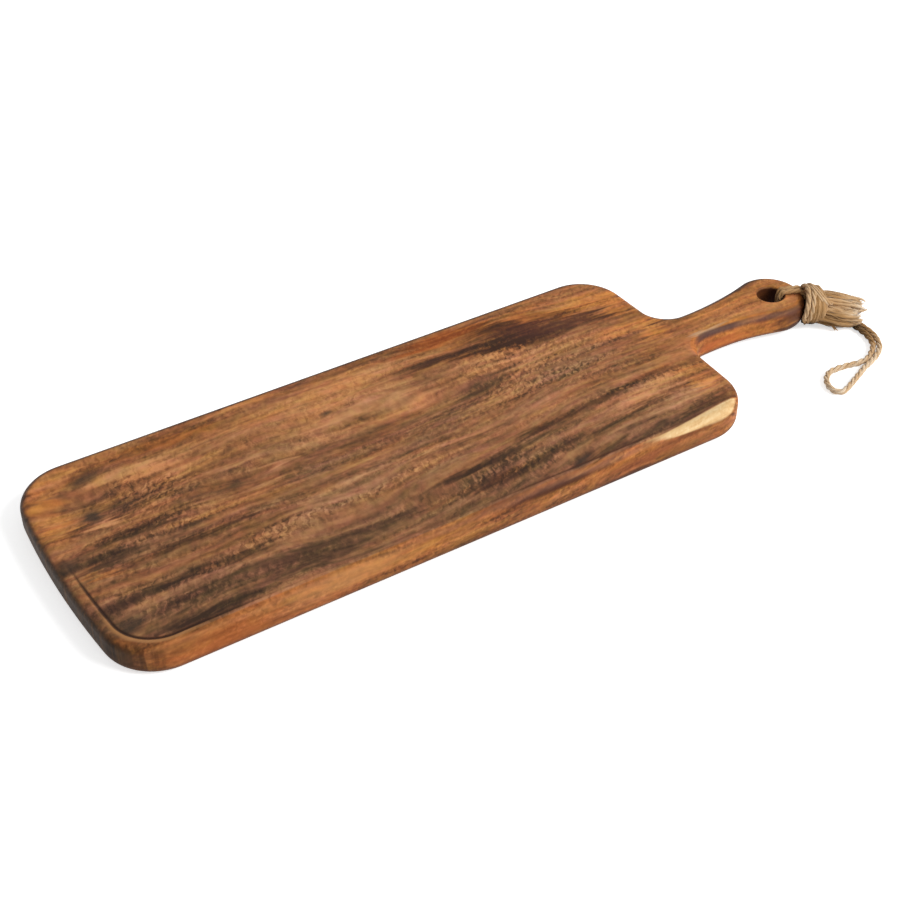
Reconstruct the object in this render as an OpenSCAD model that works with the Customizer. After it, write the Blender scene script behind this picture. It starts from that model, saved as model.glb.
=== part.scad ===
// Paddle charcuterie board with a twine hanger.
// One plank of hardwood lies flat, with its handle towards +X and its serving face up, +Z.
// The origin is the middle of the plank's underside. A length of twine is tied through the hole
// in the handle's round tip: its knot, its two cut ends and its hanging loop lie beside the tip.

/* [Plank] */
// Overall length, from the foot end to the tip of the handle
board_l = 521; // [505:1:600]
// Length of the blade, from the foot end to the shoulders
blade_l = 416; // [350:1:425]
// Width of the blade
blade_w = 170; // [140:1:220]
// Thickness of the plank
board_t = 20; // [18:0.5:28]
// Radius of the two foot corners
foot_r = 32; // [15:1:50]
// Radius of the slight bow across the foot end
foot_bow_r = 600; // [400:50:1500]
// Radius of the shoulders
shoulder_r = 30; // [15:1:45]
// Rounding of the long edges, above and below
edge_r = 6; // [3:0.5:7]

/* [Handle] */
// Width across the neck
neck_w = 28; // [24:0.5:38]
// Radius of the hollow that leads from the shoulder into the neck
neck_r = 17; // [10:1:24]
// Lean of the straight between shoulder and neck, in degrees
shoulder_lean = 2; // [1:0.5:10]
// Width across the round tip
tip_w = 46; // [43:0.5:58]
// Diameter of the hole in the tip
hole_d = 17; // [14:0.5:22]
// Rounding of the two rims of the hole
rim_r = 2; // [1:0.5:3.5]
// Rise of the underside at the tip, where the twine passes below the wood
handle_rise = 2.4; // [2:0.1:4]

/* [Twine] */
// Diameter of the twine
twine_d = 3.6; // [2.6:0.1:4]
// Clearance between the twine and the wood
twine_gap = 0.3; // [0.2:0.05:1]
// Turn of the hanger away from the line of the handle, in degrees
hanger_turn = 24; // [0:1:50]
// Diameter of the knot
knot_d = 28; // [24:0.5:32]
// Thickness of the knot, along the twine
knot_t = 11; // [10:0.5:15]
// How far the knot lies to the near side of the strands
knot_offset = 6; // [0:0.5:8]
// Length of the longer frayed end past the knot
long_tail = 30; // [20:1:60]
// Length of the shorter frayed end past the knot
short_tail = 21; // [12:1:40]

/* [Hidden] */

wood = [0.56, 0.34, 0.19];
jute = [0.70, 0.57, 0.38];

// Plan of the plank: arcs that run into each other from the foot end to the tip.
half_w = blade_w / 2;
neck_h = neck_w / 2;
tip_r = tip_w / 2;
hole_r = hole_d / 2;
foot_x = -board_l / 2;
shoulder_x = foot_x + blade_l;
hole_x = board_l / 2 - tip_r;

bow_x = foot_x + foot_bow_r;
foot_cy = half_w - foot_r;
foot_cx = bow_x - sqrt(pow(foot_bow_r - foot_r, 2) - pow(foot_cy, 2));
foot_a = atan2(foot_cy, foot_cx - bow_x);

shoulder_cx = shoulder_x - shoulder_r;
shoulder_cy = half_w - shoulder_r;
neck_cy = neck_h + neck_r;
turn_r = shoulder_r + neck_r;
lean = max(shoulder_lean, asin((neck_cy - shoulder_cy) / turn_r));
straight = (shoulder_cy + turn_r * sin(lean) - neck_cy) / cos(lean);
neck_cx = shoulder_cx + turn_r * cos(lean) + straight * sin(lean);

flare_dx = hole_x - neck_cx;
flare_r = (pow(flare_dx, 2) + pow(neck_h, 2) - pow(tip_r, 2)) / (2 * (tip_r - neck_h));
flare_cy = neck_h + flare_r;
flare_a = 360 + atan2(-flare_cy, flare_dx);

// The underside rises from the shoulders and is level again before it reaches the round tip.
rise_end = hole_x - tip_r;
edge_steps = 5;

// Points on an arc about c from angle a0 to a1 in n steps, from step first
function arc(c, r, a0, a1, n, first = 1) =
    [for (i = [first:n]) let (a = a0 + (a1 - a0) * i / n) [c[0] + r * cos(a), c[1] + r * sin(a)]];

// One half of the plan, drawn in by inset, from the foot end to the tip
function half_plan(inset) = concat(
    arc([bow_x, 0], foot_bow_r - inset, 180, foot_a, 3, 0),
    arc([foot_cx, foot_cy], foot_r - inset, foot_a, 90, 8),
    arc([shoulder_cx, shoulder_cy], shoulder_r - inset, 90, lean, 9, 0),
    arc([neck_cx, neck_cy], neck_r + inset, 180 + lean, 270, 8, 0),
    arc([neck_cx, flare_cy], flare_r + inset, 270, flare_a, 7),
    arc([hole_x, 0], tip_r - inset, flare_a - 180, 0, 11)
);

half_n = len(half_plan(0)) - 1;
ring_n = 2 * half_n;

function smooth(s) = let (t = min(max(s, 0), 1)) t * t * (3 - 2 * t);
function rise(x) = handle_rise * smooth((x - shoulder_x) / (rise_end - shoulder_x));

// The whole plan at one inset and height, out along one side and back along the other
function plan_ring(inset, z, lifted) = let (h = half_plan(inset)) [
    for (i = [0:ring_n - 1])
        let (p = i <= half_n ? h[i] : [h[ring_n - i][0], -h[ring_n - i][1]])
        [p[0], p[1], z + (lifted ? rise(p[0]) : 0)]
];

// Inset, height and whether it follows the rise: the lower edge, then the upper edge
edge_profile = concat(
    [for (i = [0:edge_steps]) let (a = 90 * i / edge_steps)
        [edge_r * (1 - sin(a)), edge_r * (1 - cos(a)), true]],
    [for (i = [0:edge_steps]) let (a = 90 * i / edge_steps)
        [edge_r * (1 - cos(a)), board_t - edge_r * (1 - sin(a)), false]]
);
plank_points = [for (e = edge_profile) each plan_ring(e[0], e[1], e[2])];

// Two triangles for each side of each ring, for rings of n points that lie one above the other
function wall_faces(rings, n) = [
    for (j = [0:rings - 2], i = [0:n - 1])
        let (a = j * n + i, b = j * n + (i + 1) % n)
        each [[a, b, b + n], [a, b + n, a + n]]
];

// A flat cover over a plan ring that starts at point s, as strips from side to side
function plan_cover(s) = concat(
    [[s, s + 1, s + ring_n - 1]],
    [for (i = [1:half_n - 2])
        each [[s + i, s + i + 1, s + ring_n - i - 1], [s + i, s + ring_n - i - 1, s + ring_n - i]]],
    [[s + half_n - 1, s + half_n, s + half_n + 1]]
);
function turned(faces) = [for (f = faces) [f[2], f[1], f[0]]];

last_ring = (len(edge_profile) - 1) * ring_n;
plank_faces = concat(wall_faces(len(edge_profile), ring_n), plan_cover(last_ring), turned(plan_cover(0)));

// Half section of the hole, with both rims rounded
hole_section = concat(
    [[0, -1], [hole_r + rim_r, -1]],
    arc([hole_r + rim_r, handle_rise + rim_r], rim_r, 270, 180, 5, 0),
    arc([hole_r + rim_r, board_t - rim_r], rim_r, 180, 90, 5, 0),
    [[hole_r + rim_r, board_t + 1], [0, board_t + 1]]
);

// The twine is drawn in the hanger's own frame: u runs out from the end of the tip, v to the far
// side and z up from the table.
bridge = tip_r - hole_r;
twine_r = twine_d / 2;
table_gap = 0.1;
knot_r = knot_d / 2;
knot_u = twine_gap + knot_t / 2;
knot_end = knot_u + knot_t / 2;

// Below the tip the strands are pressed flat between the wood and the table.
pressed_r = min(twine_r, (handle_rise - twine_gap - table_gap) / 2);
pressed_w = twine_r + 0.75 * (twine_r - pressed_r);
strand_gap = 0.2;
wall_v = twine_r + strand_gap / 2;
wall_r = hole_r - twine_gap - twine_r;
wall_sag = wall_r - sqrt(pow(wall_r, 2) - pow(wall_v, 2));
wall_u = -bridge - twine_gap - twine_r - wall_sag;
low_sag = 1.5 * wall_sag;

// Stations of one strand round the wood: u, z and half its thickness, from knot to knot
function round_edge(u, z, r, thick, a) =
    let (d = r + twine_gap + thick) [u + d * cos(a), z + d * sin(a), thick];
function pressing(s) = twine_r + (pressed_r - twine_r) * smooth(s);
strand_stations = concat(
    [[knot_u, knot_r + twine_d, twine_r]],
    [for (a = [10:20:90]) round_edge(-edge_r, board_t - edge_r, edge_r, twine_r, a)],
    [for (a = [90:22.5:180]) round_edge(-bridge + rim_r - wall_sag, board_t - rim_r, rim_r, twine_r, a)],
    [[wall_u, (board_t + handle_rise) / 2, twine_r]],
    [for (a = [180:22.5:270])
        round_edge(-bridge + rim_r - low_sag, handle_rise + rim_r, rim_r, pressing((a - 180) / 90), a)],
    [for (a = [270:20:350]) round_edge(-edge_r, handle_rise + edge_r, edge_r, pressing((350 - a) / 80), a)],
    [[knot_u, knot_r - twine_r, twine_r]]
);

strand_sides = 8;
function strand_width(thick) = pressed_r < twine_r
    ? twine_r + (pressed_w - twine_r) * (twine_r - thick) / (twine_r - pressed_r) : twine_r;
function strand_ring(i, side) =
    let (
        s = strand_stations[i],
        before = strand_stations[max(i - 1, 0)],
        after = strand_stations[min(i + 1, len(strand_stations) - 1)],
        run = [after[0] - before[0], after[1] - before[1]],
        out = [-run[1], run[0]] / norm(run),
        w = strand_width(s[2])
    )
    [for (k = [0:strand_sides - 1])
        let (a = 360 * (k + 0.5) / strand_sides, t = s[2] * sin(a))
        [s[0] + out[0] * t, side * (w + strand_gap / 2) + w * cos(a), s[1] + out[1] * t]];

// A closed skin over rings of n points
module skin(rings) {
    n = len(rings[0]);
    last = (len(rings) - 1) * n;
    polyhedron(
        points = [for (r = rings) each r],
        faces = concat(
            turned(wall_faces(len(rings), n)),
            [for (k = [1:n - 2]) [0, k, k + 1]],
            [for (k = [1:n - 2]) [last, last + k + 1, last + k]]
        )
    );
}

// Places its children in the hanger's frame
module hanger() {
    translate([hole_x, 0, 0])
        rotate([0, 0, -hanger_turn])
            translate([tip_r, 0, 0])
                children();
}

// Half section of the knot: two turns of doubled twine side by side, drawn tight
turn_w = 0.29 * knot_t;
turn_c = knot_t / 2 - turn_w;
turn_groove = asin(turn_c / turn_w);
knot_section = concat(
    [[0, -knot_t / 2 + 0.5]],
    arc([knot_r - turn_w, -turn_c], turn_w, -110, turn_groove, 6, 0),
    arc([knot_r - turn_w, turn_c], turn_w, -turn_groove, 110, 6),
    [[0, knot_t / 2 - 0.5]]
);

// Stations of the two frayed ends: share of the length past the knot, v from the knot's middle and
// half width, then height and half height as shares of the knot's radius
tail_root = 4;
far_stations = [
    [-tail_root / long_tail, 3, 4.5, 0.96, 0.32],
    [0.1, 4, 6.5, 0.86, 0.39],
    [0.35, 4.5, 8, 0.75, 0.43],
    [0.65, 3.5, 8, 0.64, 0.37],
    [0.9, 2.5, 7.5, 0.54, 0.3],
    [1, 2.5, 6.5, 0.5, 0.24]
];
near_stations = [
    [-tail_root / short_tail, -4, 4.5, 0.86, 0.32],
    [0.1, -5, 5.5, 0.72, 0.36],
    [0.45, -7, 6, 0.64, 0.32],
    [0.8, -9, 5.5, 0.57, 0.27],
    [1, -10, 4.5, 0.5, 0.2]
];
tail_sides = 12;
function tail_rings(stations, length) = [
    for (s = stations) [
        for (k = [0:tail_sides - 1])
            let (a = 360 * k / tail_sides)
            [
                knot_end + s[0] * length,
                -knot_offset + s[1] + s[2] * cos(a),
                knot_r * (s[3] + s[4] * sin(a))
            ]
    ]
];

// Route of the hanging loop: out of the knot, along the table, round and back beside itself
lie = twine_r + table_gap;
loop_points = [
    [5.5, -8, 6.5], [11, -8.5, 3.5], [17.5, -10.2, lie], [24.6, -12.6, lie], [29.4, -16.5, lie],
    [33.1, -23.4, lie], [35.7, -32.3, lie], [35.4, -41.5, lie], [31.1, -49.4, lie], [25, -54.5, lie],
    [18, -57.5, lie], [10.5, -59.5, lie], [3.5, -62.5, lie], [-2.5, -67, lie], [-6.5, -73.5, lie],
    [-7.5, -80.5, lie], [-5.5, -86, lie], [-1, -87.5, lie], [4, -84, lie], [10, -77.5, lie],
    [16, -71, lie], [22.5, -64, lie], [28.5, -58.5, lie], [34.9, -51.4, lie], [39.4, -42.5, lie],
    [39.9, -31.7, lie], [36.9, -21.8, lie], [32.6, -13.9, lie], [26.6, -9, lie], [18.9, -6.2, lie],
    [11, -4, 3.5], [5.5, -3, 6.5]
];
loop_sides = 8;
loop_steps = 2;

// A smooth curve through points p, in n steps for each span
function curve(p, n) = [
    for (i = [0:len(p) - 2], j = [0:(i == len(p) - 2 ? n : n - 1)])
        let (
            t = j / n,
            p0 = p[max(i - 1, 0)],
            p1 = p[i],
            p2 = p[i + 1],
            p3 = p[min(i + 2, len(p) - 1)]
        )
        (2 * p1 + (p2 - p0) * t + (2 * p0 - 5 * p1 + 4 * p2 - p3) * t * t
            + (3 * p1 - p0 - 3 * p2 + p3) * t * t * t) / 2
];
function unit(v) = v / norm(v);
function tube_rings(c, r, n) = [
    for (i = [0:len(c) - 1])
        let (
            run = unit(c[min(i + 1, len(c) - 1)] - c[max(i - 1, 0)]),
            side = unit(cross([0, 0, 1], run)),
            up = cross(run, side)
        )
        [for (k = [0:n - 1]) let (a = 360 * (k + 0.5) / n) c[i] + r * (side * cos(a) + up * sin(a))]
];
loop_curve = curve(loop_points, loop_steps);

// Length of the loop and its least gap to itself, in millimetres
function run_length(c) = [for (i = [1:len(c) - 1]) norm(c[i] - c[i - 1])] * [for (i = [1:len(c) - 1]) 1];
far_apart = 5 * twine_d / run_length(loop_curve) * len(loop_curve);
loop_gap = min([
    for (i = [0:len(loop_curve) - 1], j = [i + ceil(far_apart):1:len(loop_curve) - 1])
        norm(loop_curve[i] - loop_curve[j])
]) - twine_d;
echo(loop_length = run_length(loop_curve), loop_gap = loop_gap);

// The plank: one piece of wood, with the hole through its tip
module board() {
    color(wood)
        difference() {
            polyhedron(points = plank_points, faces = plank_faces);
            translate([hole_x, 0, 0])
                rotate_extrude($fn = 64)
                    polygon(hole_section);
        }
}

// One strand of the doubled twine, up over the tip, down the hole and back below the tip
module strand(side) {
    color(jute)
        hanger()
            skin([for (i = [0:len(strand_stations) - 1]) strand_ring(i, side)]);
}
module strand_far() strand(1);
module strand_near() strand(-1);

// The knot that draws the strands together, beside the tip and down to the table
module knot() {
    color(jute)
        hanger()
            translate([knot_u, -knot_offset, knot_r])
                rotate([0, 90, 0])
                    rotate_extrude($fn = 64)
                        polygon(knot_section);
}

// The two frayed ends of the twine
module tail_far() {
    color(jute)
        hanger()
            skin(tail_rings(far_stations, long_tail));
}
module tail_near() {
    color(jute)
        hanger()
            skin(tail_rings(near_stations, short_tail));
}

// The free loop that the board is hung up by
module hanging_loop() {
    color(jute)
        hanger()
            skin(tube_rings(loop_curve, twine_r, loop_sides));
}

board();
strand_far();
strand_near();
knot();
tail_far();
tail_near();
hanging_loop();
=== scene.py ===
import random
from math import atan2, cos, pi, radians, sin, sqrt

import bmesh
import bpy
from mathutils import Matrix, Vector, noise


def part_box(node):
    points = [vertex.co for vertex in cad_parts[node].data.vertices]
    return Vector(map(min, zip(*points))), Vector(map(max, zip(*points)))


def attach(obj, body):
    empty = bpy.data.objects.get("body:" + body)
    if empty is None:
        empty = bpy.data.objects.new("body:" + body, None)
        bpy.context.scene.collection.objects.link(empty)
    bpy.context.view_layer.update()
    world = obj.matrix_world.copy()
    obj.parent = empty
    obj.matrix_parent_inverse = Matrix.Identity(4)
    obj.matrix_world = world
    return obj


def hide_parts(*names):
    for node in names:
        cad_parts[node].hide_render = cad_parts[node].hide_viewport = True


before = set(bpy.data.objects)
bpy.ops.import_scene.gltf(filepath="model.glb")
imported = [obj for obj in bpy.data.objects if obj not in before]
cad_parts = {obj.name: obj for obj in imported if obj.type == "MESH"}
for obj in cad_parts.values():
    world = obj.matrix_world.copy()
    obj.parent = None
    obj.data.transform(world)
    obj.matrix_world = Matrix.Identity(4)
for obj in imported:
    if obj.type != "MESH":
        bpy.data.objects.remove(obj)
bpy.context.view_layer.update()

# The plank: one piece of dark, streaky hardwood, sawn to a paddle with a flared handle.
# A router rounds its edges and leaves a crease beside them, deepest at the foot end. The hole in the
# tip is drilled and eased, and the whole board is sanded and oiled.
MM = 0.001
blade_length = 416 * MM
foot_radius = 32 * MM
foot_bow_radius = 600 * MM
shoulder_radius = 30 * MM
shoulder_lean = radians(2)
neck_half = 14 * MM
neck_radius = 17 * MM
tip_radius = 23 * MM
edge_radius = 6 * MM
edge_steps = 8
crease_width = 1.6 * MM
crease_depth = 0.5 * MM
crease_end = -165 * MM
crease_far = 15 * MM
crease_fade = 50 * MM
crease_stop = 125 * MM
crease_near = -20 * MM
crease_faint = 0.3
crease_gain = 0.4
lip_end = -205 * MM
lip_full = -65 * MM
lip_fade = 25 * MM
lip_drop = 0.6
lip_low = 0.6
hole_radius = 8.5 * MM
rim_radius = 2 * MM
handle_rise = 2.4 * MM
rise_cuts = 20
blade_cuts = 12
rim_cuts = 6
hole_cuts = 64
smooth_turn = radians(24)

board_low, board_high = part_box("board")
half_width = board_high.y
thickness = board_high.z
shoulder_x = board_low.x + blade_length
hole_x = board_high.x - tip_radius
rise_end = hole_x - tip_radius

bow_x = board_low.x + foot_bow_radius
foot_y = half_width - foot_radius
foot_x = bow_x - sqrt((foot_bow_radius - foot_radius) ** 2 - foot_y ** 2)
foot_turn = atan2(foot_y, bow_x - foot_x)
shoulder_y = half_width - shoulder_radius
neck_y = neck_half + neck_radius
turn_radius = shoulder_radius + neck_radius
shoulder_run = (shoulder_y + turn_radius * sin(shoulder_lean) - neck_y) / cos(shoulder_lean)
neck_x = shoulder_x - shoulder_radius + turn_radius * cos(shoulder_lean) + shoulder_run * sin(shoulder_lean)
flare_x = hole_x - neck_x
flare_radius = (flare_x ** 2 + neck_half ** 2 - tip_radius ** 2) / (2 * (tip_radius - neck_half))
flare_turn = atan2(flare_x, neck_half + flare_radius)


def draw_arc(bm, vert, centre_x, centre_y, turn, steps):
    """Draws an outline on from its last point, along an arc about a centre."""
    drawn = bmesh.ops.spin(
        bm, geom=[vert], cent=(centre_x, centre_y, 0), axis=(0, 0, 1), angle=turn, steps=steps
    )
    return drawn["geom_last"][0]


def draw_line(bm, vert, run_x, run_y, run_z=0):
    """Draws an outline on from its last point, along a straight."""
    drawn = bmesh.ops.extrude_vert_indiv(bm, verts=[vert])["verts"]
    bmesh.ops.translate(bm, verts=drawn, vec=(run_x, run_y, run_z))
    return drawn[0]


def smooth_share(share):
    """A share from 0 to 1 that starts and ends gently."""
    share = min(max(share, 0), 1)
    return share * share * (3 - 2 * share)


shape = bmesh.new()
crease_layer = shape.verts.layers.float.new("crease")
lip_highlight_layer = shape.verts.layers.float.new("lip")
pen = bmesh.ops.create_vert(shape, co=(board_low.x, 0, 0))["vert"][0]
pen = draw_arc(shape, pen, bow_x, 0, -foot_turn, 10)
pen = draw_arc(shape, pen, foot_x, foot_y, foot_turn - pi / 2, 20)
for cut in range(blade_cuts):
    pen = draw_line(shape, pen, (shoulder_x - shoulder_radius - foot_x) / blade_cuts, 0)
pen = draw_arc(shape, pen, shoulder_x - shoulder_radius, shoulder_y, shoulder_lean - pi / 2, 20)
pen = draw_line(shape, pen, shoulder_run * sin(shoulder_lean), -shoulder_run * cos(shoulder_lean))
pen = draw_arc(shape, pen, neck_x, neck_y, pi / 2 - shoulder_lean, 16)
pen = draw_arc(shape, pen, neck_x, neck_half + flare_radius, flare_turn, 14)
pen = draw_arc(shape, pen, hole_x, 0, -pi / 2 - flare_turn, 26)
bmesh.ops.mirror(shape, geom=shape.verts[:] + shape.edges[:], axis="Y", merge_dist=1e-6)
plan = bmesh.ops.edgeloop_fill(shape, edges=shape.edges[:])["faces"]
raised = bmesh.ops.extrude_face_region(shape, geom=plan)["geom"]
bmesh.ops.translate(
    shape, verts=[g for g in raised if isinstance(g, bmesh.types.BMVert)], vec=(0, 0, thickness)
)
bmesh.ops.recalc_face_normals(shape, faces=shape.faces[:])
level_edges = [e for e in shape.edges if abs(e.verts[0].co.z - e.verts[1].co.z) < 1e-6]
bmesh.ops.bevel(
    shape, geom=level_edges, offset=edge_radius, segments=edge_steps, profile=0.5,
    affect="EDGES", clamp_overlap=False, material=-1,
)
serving_face = max(shape.faces, key=lambda f: f.normal.z * f.calc_area())
outer_strip = bmesh.ops.inset_region(
    shape, faces=[serving_face], thickness=crease_width, use_even_offset=True
)["faces"]
inner_strip = bmesh.ops.inset_region(
    shape, faces=[serving_face], thickness=crease_width, use_even_offset=True
)["faces"]
crease = {v for f in outer_strip for v in f.verts} & {v for f in inner_strip for v in f.verts}
for vert in crease:
    along_share = smooth_share((crease_end - vert.co.x) / crease_fade)
    foot_share = along_share * smooth_share((crease_far - vert.co.y) / crease_fade)
    near_share = smooth_share((crease_near - vert.co.y) / crease_fade)
    near_share *= crease_faint + crease_gain * smooth_share((vert.co.x + crease_fade) / crease_fade)
    near_share *= smooth_share((crease_stop - vert.co.x) / crease_fade)
    # The lip beside the crease gets a painted highlight, strongest at the foot end
    lip_highlight_share = foot_share * smooth_share((lip_end - vert.co.x) / lip_fade)
    lip_highlight_share *= 1 - lip_drop * smooth_share((vert.co.y - lip_full) / lip_fade)
    vert[crease_layer] = max(foot_share, near_share)
    vert.co.z -= crease_depth * vert[crease_layer]
    for edge in vert.link_edges:
        lip = edge.other_vert(vert)
        if lip not in crease and all(f in outer_strip for f in edge.link_faces):
            lip[lip_highlight_layer] = lip_highlight_share
            for lower in (e.other_vert(lip) for e in lip.link_edges):
                if not any(f in outer_strip for f in lower.link_faces):
                    lower[lip_highlight_layer] = lip_low * lip_highlight_share
for cut in range(rise_cuts + 1):
    bmesh.ops.bisect_plane(
        shape, geom=shape.verts[:] + shape.edges[:] + shape.faces[:], dist=1e-7,
        plane_co=(shoulder_x + (rise_end - shoulder_x) * cut / rise_cuts, 0, 0), plane_no=(1, 0, 0),
    )
for vert in shape.verts:
    if vert.co.z < thickness / 2:
        vert.co.z += handle_rise * smooth_share((vert.co.x - shoulder_x) / (rise_end - shoulder_x))


def make_object(name, bm, material=None):
    """Turns a finished shape into a smooth object at the origin."""
    mesh = bpy.data.meshes.new(name)
    bm.to_mesh(mesh)
    bm.free()
    mesh.shade_smooth()
    made = bpy.data.objects.new(name, mesh)
    bpy.context.collection.objects.link(made)
    if material:
        mesh.materials.append(material)
    return made


# The drill that cuts the hole, with a flare at each end that eases the rim.
drill_shape = bmesh.new()
flare_reach = hole_radius + rim_radius
flare_past = 0.02 * MM
pen = bmesh.ops.create_vert(drill_shape, co=(hole_x + flare_reach, 0, -rim_radius))["vert"][0]
low_run = rim_radius + handle_rise - flare_past
wall_run = thickness - handle_rise - 2 * (rim_radius - flare_past)
for run_z, centre_z in ((low_run, rim_radius), (wall_run, 0)):
    pen = draw_line(drill_shape, pen, 0, 0, run_z)
    eased = bmesh.ops.spin(
        drill_shape, geom=[pen], cent=(hole_x + flare_reach, 0, pen.co.z + centre_z), axis=(0, 1, 0),
        angle=pi / 2, steps=rim_cuts,
    )
    pen = eased["geom_last"][0]
draw_line(drill_shape, pen, 0, 0, rim_radius)
bmesh.ops.spin(
    drill_shape, geom=drill_shape.verts[:] + drill_shape.edges[:], cent=(hole_x, 0, 0), axis=(0, 0, 1),
    angle=2 * pi, steps=hole_cuts, use_merge=True,
)
bmesh.ops.holes_fill(drill_shape, edges=[e for e in drill_shape.edges if e.is_boundary])
bmesh.ops.recalc_face_normals(drill_shape, faces=drill_shape.faces[:])
drill = make_object("drill", drill_shape)

plank = make_object("plank", shape)
drilling = plank.modifiers.new("hole", "BOOLEAN")
drilling.operation = "DIFFERENCE"
drilling.solver = "EXACT"
drilling.object = drill
bpy.context.view_layer.update()
drilled = bpy.data.meshes.new_from_object(plank.evaluated_get(bpy.context.evaluated_depsgraph_get()))
plank.modifiers.clear()
plank.data = drilled
plank.data.name = "plank"
bpy.data.objects.remove(drill)
# Drilling leaves stray marks on the wall of the hole, where there is neither crease nor lip
for mark in ("crease", "lip"):
    marks = plank.data.attributes[mark].data
    for vert in plank.data.vertices:
        if vert.co.x > crease_stop:
            marks[vert.index].value = 0
plank.data.set_sharp_from_angle(angle=smooth_turn)
plank.modifiers.new("flat_faces", "WEIGHTED_NORMAL").keep_sharp = True


def colour(code):
    """The linear values of a colour that is written as it is seen, such as 8c5e40."""
    seen = [int(code[i:i + 2], 16) / 255 for i in (0, 2, 4)]
    return [s / 12.92 if s <= 0.04045 else ((s + 0.055) / 1.055) ** 2.4 for s in seen] + [1.0]


def add_node(tree, kind, sockets, **settings):
    """Adds a shader node with its settings, and the values or links of its inputs."""
    made = tree.nodes.new("ShaderNode" + kind)
    for name, value in settings.items():
        setattr(made, name, value)
    for key, value in sockets.items():
        if isinstance(value, bpy.types.NodeSocket):
            tree.links.new(value, made.inputs[key])
        else:
            made.inputs[key].default_value = value
    return made


def reckon(tree, operation, first, second=0.0, third=0.0):
    """One step of arithmetic between values or sockets."""
    return add_node(tree, "Math", {0: first, 1: second, 2: third}, operation=operation).outputs[0]


def ease(tree, value, low, high, start=0.0, end=1.0):
    """Start below low, end above high, and a smooth change between them."""
    sockets = {0: value, 1: low, 2: high, 3: start, 4: end}
    return add_node(tree, "MapRange", sockets, interpolation_type="SMOOTHSTEP").outputs[0]


def blend_colour(tree, share, first, second):
    """A mix of two colours or colour sockets."""
    return add_node(tree, "Mix", {0: share, 6: first, 7: second}, data_type="RGBA").outputs[2]


def tone_ramp(tree, value, *codes):
    """Colours at even steps from 0 to 1."""
    ramp = add_node(tree, "ValToRGB", {0: value})
    stops = ramp.color_ramp.elements
    while len(stops) < len(codes):
        stops.new(0.5)
    for place, code in enumerate(codes):
        stops[place].position = place / (len(codes) - 1)
        stops[place].color = colour(code)
    return ramp.outputs[0]


def start_group(name, inputs, output):
    """A node group with named inputs and one output; returns its tree, inputs and output socket."""
    group = bpy.data.node_groups.new(name, "ShaderNodeTree")
    for socket, kind in inputs.items():
        group.interface.new_socket(socket, in_out="INPUT", socket_type="NodeSocket" + kind)
    group.interface.new_socket(output, in_out="OUTPUT", socket_type="NodeSocketFloat")
    return group, group.nodes.new("NodeGroupInput").outputs, group.nodes.new("NodeGroupOutput").inputs[0]


# Streaks that lie along a grain, about -1 to 1
streaks, given, result = start_group(
    "streaks", {"Grain": "Vector", "Length": "Float", "Width": "Float", "Shift": "Float"}, "Streak"
)
streak_size = add_node(streaks, "CombineXYZ", {0: given["Length"], 1: given["Width"], 2: given["Width"]})
streak_place = add_node(
    streaks, "VectorMath", {0: given["Grain"], 1: streak_size.outputs[0]}, operation="DIVIDE"
)
streak_place = add_node(streaks, "VectorMath", {0: streak_place.outputs[0], 1: given["Shift"]})
streak_noise = add_node(
    streaks, "TexNoise", {"Vector": streak_place.outputs[0], "Scale": 1, "Detail": 1, "Roughness": 0.5}
)
streaks.links.new(reckon(streaks, "MULTIPLY_ADD", streak_noise.outputs[0], 3.2, -1.6), result)

# A soft patch of the figure: 1 in its middle and 0 past its edge
patch, given, result = start_group(
    "patch", {"Place": "Vector", "Middle": "Vector", "Size": "Vector", "Turn": "Float"}, "Mask"
)
patch_place = add_node(patch, "VectorMath", {0: given["Place"], 1: given["Middle"]}, operation="SUBTRACT")
patch_place = add_node(
    patch, "VectorRotate", {"Vector": patch_place.outputs[0], "Angle": given["Turn"]}, rotation_type="Z_AXIS"
)
patch_place = add_node(
    patch, "VectorMath", {0: patch_place.outputs[0], 1: given["Size"]}, operation="DIVIDE"
)
patch_reach = add_node(patch, "VectorMath", {0: patch_place.outputs[0]}, operation="LENGTH").outputs["Value"]
patch.links.new(ease(patch, patch_reach, 0.25, 1.25, 1.0, 0.0), result)


def add_streaks(tree, grain, length, width, shift):
    """Streaks of one length and width, in millimetres."""
    sockets = {"Grain": grain, "Length": length, "Width": width, "Shift": shift}
    return add_node(tree, "Group", sockets, node_tree=streaks).outputs[0]


def add_patch(tree, place, middle, size, turn=0.0):
    """The mask of one patch of the figure, in millimetres and degrees."""
    sockets = {"Place": place, "Middle": middle, "Size": size, "Turn": -radians(turn)}
    return add_node(tree, "Group", sockets, node_tree=patch).outputs[0]


wood = bpy.data.materials.new("oiled_wood")
wood.use_nodes = True
tree = wood.node_tree
shader = tree.nodes["Principled BSDF"]
here = add_node(tree, "TexCoord", {}).outputs
place = add_node(tree, "VectorMath", {0: here["Object"], 1: [1000] * 3}, operation="MULTIPLY").outputs[0]
along, across, height = add_node(tree, "SeparateXYZ", {0: place}).outputs
facing_x, facing_y, facing_z = add_node(tree, "SeparateXYZ", {0: here["Normal"]}).outputs
near_facing = reckon(tree, "MULTIPLY", facing_y, -1.0)
foot_facing = reckon(tree, "MULTIPLY", facing_x, -1.0)

# The grain wanders slowly, draws together towards the handle and bends round the knots
spread = ease(tree, along, -120.0, 160.0, 0.88, 1.22)
grain_across = reckon(tree, "MULTIPLY", reckon(tree, "SUBTRACT", across, 25.0), spread)
grain_across = reckon(tree, "MULTIPLY_ADD", add_streaks(tree, place, 170, 70, 1.0), 9.0, grain_across)
grain_across = reckon(tree, "MULTIPLY_ADD", add_streaks(tree, place, 50, 16, 6.0), 2.5, grain_across)
grain_across = reckon(tree, "MULTIPLY_ADD", height, 0.6, grain_across)

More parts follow.
